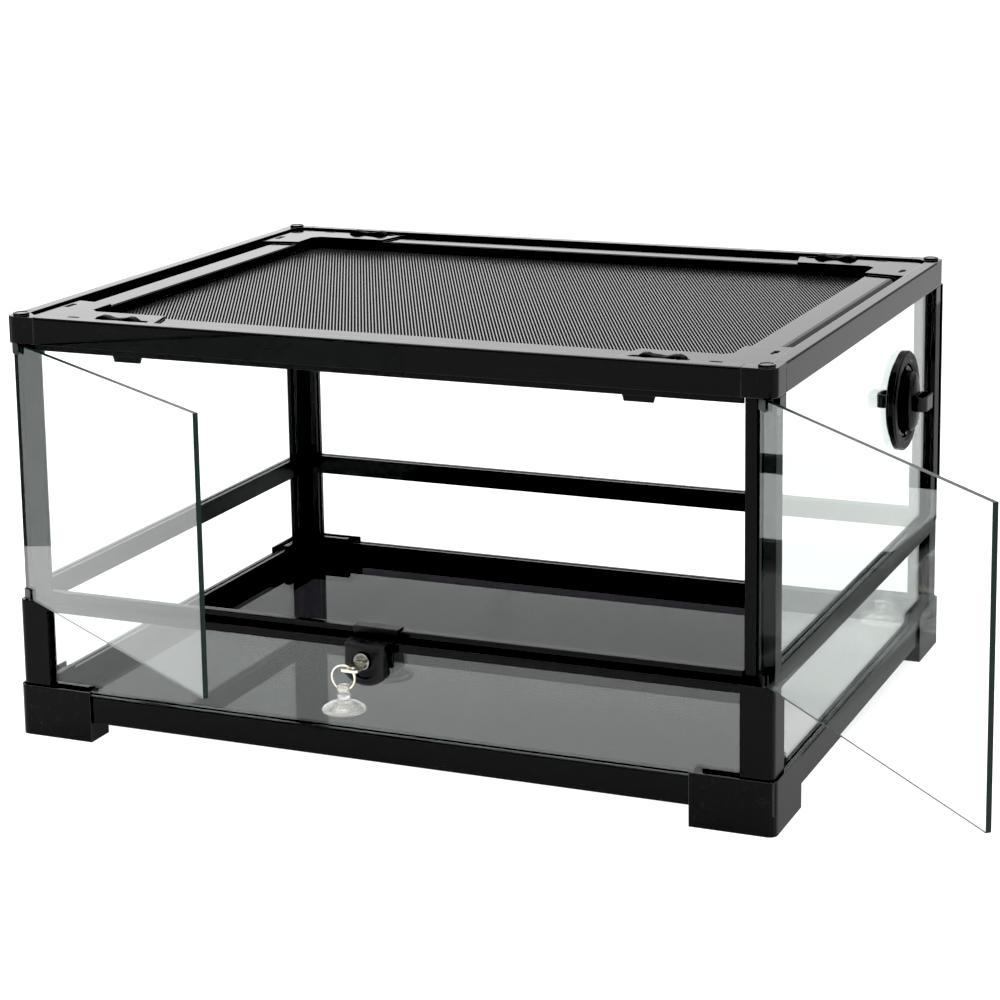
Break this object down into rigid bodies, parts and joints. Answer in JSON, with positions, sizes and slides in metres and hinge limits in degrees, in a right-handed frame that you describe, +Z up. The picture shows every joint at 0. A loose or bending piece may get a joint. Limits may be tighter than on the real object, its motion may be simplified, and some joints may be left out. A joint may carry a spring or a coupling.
{
  "type": "glass terrarium",
  "caption": "Front-opening glass terrarium: black profile frame on raised feet, hinged glass doors, lift-off screen lid with sliding latches, key lock, side port and suction cups.",
  "frame": {"origin": "on the floor under the middle of the front left foot's corner block, 12 mm in from both outer faces of the tank", "axes": "+X along the front to the right, +Y from the front to the back, +Z up"},
  "size_m": [0.8155, 0.695, 0.3368],
  "materials": {
    "black_frame": "gloss",
    "satin_black": "satin",
    "clear_glass": "clear, polished edges",
    "bright_steel": "bright nickel",
    "dark_metal": "dark satin",
    "clear_rubber": "clear, glossy",
    "black_screen": "matt black"
  },
  "bodies": {
    "frame": {"foot_front_left": "black_frame", "foot_front_right": "black_frame", "foot_back_right": "black_frame", "foot_back_left": "black_frame", "bottom_rail_front": "black_frame", "bottom_rail_right": "black_frame", "bottom_rail_back": "black_frame", "bottom_rail_left": "black_frame", "base_glass": "clear_glass", "lower_post_front_left": "black_frame", "lower_post_front_right": "black_frame", "lower_post_back_right": "black_frame", "lower_post_back_left": "black_frame", "front_window": "clear_glass", "low_pane_right": "clear_glass", "low_pane_back": "clear_glass", "low_pane_left": "clear_glass", "front_sill": "black_frame", "belt_rail_right": "black_frame", "belt_rail_back": "black_frame", "belt_rail_left": "black_frame", "upper_post_front_left": "black_frame", "upper_post_front_right": "black_frame", "upper_post_back_right": "black_frame", "upper_post_back_left": "black_frame", "upper_pane_right": "clear_glass", "upper_pane_back": "clear_glass", "upper_pane_left": "clear_glass", "top_rail_front": "black_frame", "top_rail_right": "black_frame", "top_rail_back": "black_frame", "top_rail_left": "black_frame", "top_corner_front_left": "black_frame", "top_corner_front_right": "black_frame", "top_corner_back_right": "black_frame", "top_corner_back_left": "black_frame", "lock_base": "satin_black", "spare_cup": "clear_rubber", "port_flange": "black_frame"},
    "left_door_leaf": {"left_door": "clear_glass", "left_hinge_upper": "dark_metal", "left_hinge_lower": "dark_metal"},
    "right_door_leaf": {"right_door": "clear_glass", "right_hinge_upper": "dark_metal", "right_hinge_lower": "dark_metal"},
    "lock_slider": {"lock_slide": "satin_black"},
    "lock_cylinder": {"lock_barrel": "dark_metal", "key": "bright_steel"},
    "ring": {"key_ring": "bright_steel"},
    "hanging_cup": {"ring_cup": "clear_rubber"},
    "screen_lid": {"lid_frame": "black_frame", "screen": "black_screen"},
    "lid_latch_front_left": {"latch_front_left": "satin_black"},
    "lid_latch_front_right": {"latch_front_right": "satin_black"},
    "lid_latch_back_right": {"latch_back_right": "satin_black"},
    "lid_latch_back_left": {"latch_back_left": "satin_black"},
    "port_stopper": {"port_plug": "satin_black"},
    "port_knob": {"port_grip": "satin_black"}
  },
  "joints": [
    {"name": "left_door_hinge", "type": "hinge", "parent": "frame", "child": "left_door_leaf", "pos_m": [-0.0035, -0.0078, 0.2116], "axis": [0, 0, -1], "range_deg": [-33.7, 101.3]},
    {"name": "right_door_hinge", "type": "hinge", "parent": "frame", "child": "right_door_leaf", "pos_m": [0.5945, -0.0078, 0.2116], "axis": [0, 0, 1], "range_deg": [-133.6, 1.4]},
    {"name": "lock_lift", "type": "slide", "parent": "frame", "child": "lock_slider", "axis": [0, 0, 1], "range_m": [0, 0.008]},
    {"name": "key_turn", "type": "hinge", "parent": "lock_slider", "child": "lock_cylinder", "pos_m": [0.2928, -0.029, 0.098], "axis": [0, 1, 0], "range_deg": [0, 90]},
    {"name": "ring_swing", "type": "hinge", "parent": "lock_cylinder", "child": "ring", "pos_m": [0.2875, -0.047, 0.0996], "axis": [1, 0, 0], "range_deg": [-20, 20]},
    {"name": "cup_swing", "type": "hinge", "parent": "ring", "child": "hanging_cup", "pos_m": [0.2875, -0.047, 0.0822], "axis": [1, 0, 0], "range_deg": [-12, 12]},
    {"name": "lid_lift", "type": "slide", "parent": "frame", "child": "screen_lid", "axis": [0, 0, 1], "range_m": [0, 0.06]},
    {"name": "port_plug_pull", "type": "slide", "parent": "frame", "child": "port_stopper", "axis": [1, 0, 0], "range_m": [0, 0.03]},
    {"name": "port_grip_turn", "type": "hinge", "parent": "port_stopper", "child": "port_knob", "pos_m": [0.5983, 0.345, 0.2385], "axis": [1, 0, 0], "range_deg": [0, 90]},
    {"name": "latch_slide_front_left", "type": "slide", "parent": "screen_lid", "child": "lid_latch_front_left", "axis": [1, 0, 0], "range_m": [0, 0.016]},
    {"name": "latch_slide_front_right", "type": "slide", "parent": "screen_lid", "child": "lid_latch_front_right", "axis": [-1, 0, 0], "range_m": [0, 0.016]},
    {"name": "latch_slide_back_right", "type": "slide", "parent": "screen_lid", "child": "lid_latch_back_right", "axis": [-1, 0, 0], "range_m": [0, 0.016]},
    {"name": "latch_slide_back_left", "type": "slide", "parent": "screen_lid", "child": "lid_latch_back_left", "axis": [1, 0, 0], "range_m": [0, 0.016]}
  ]
}
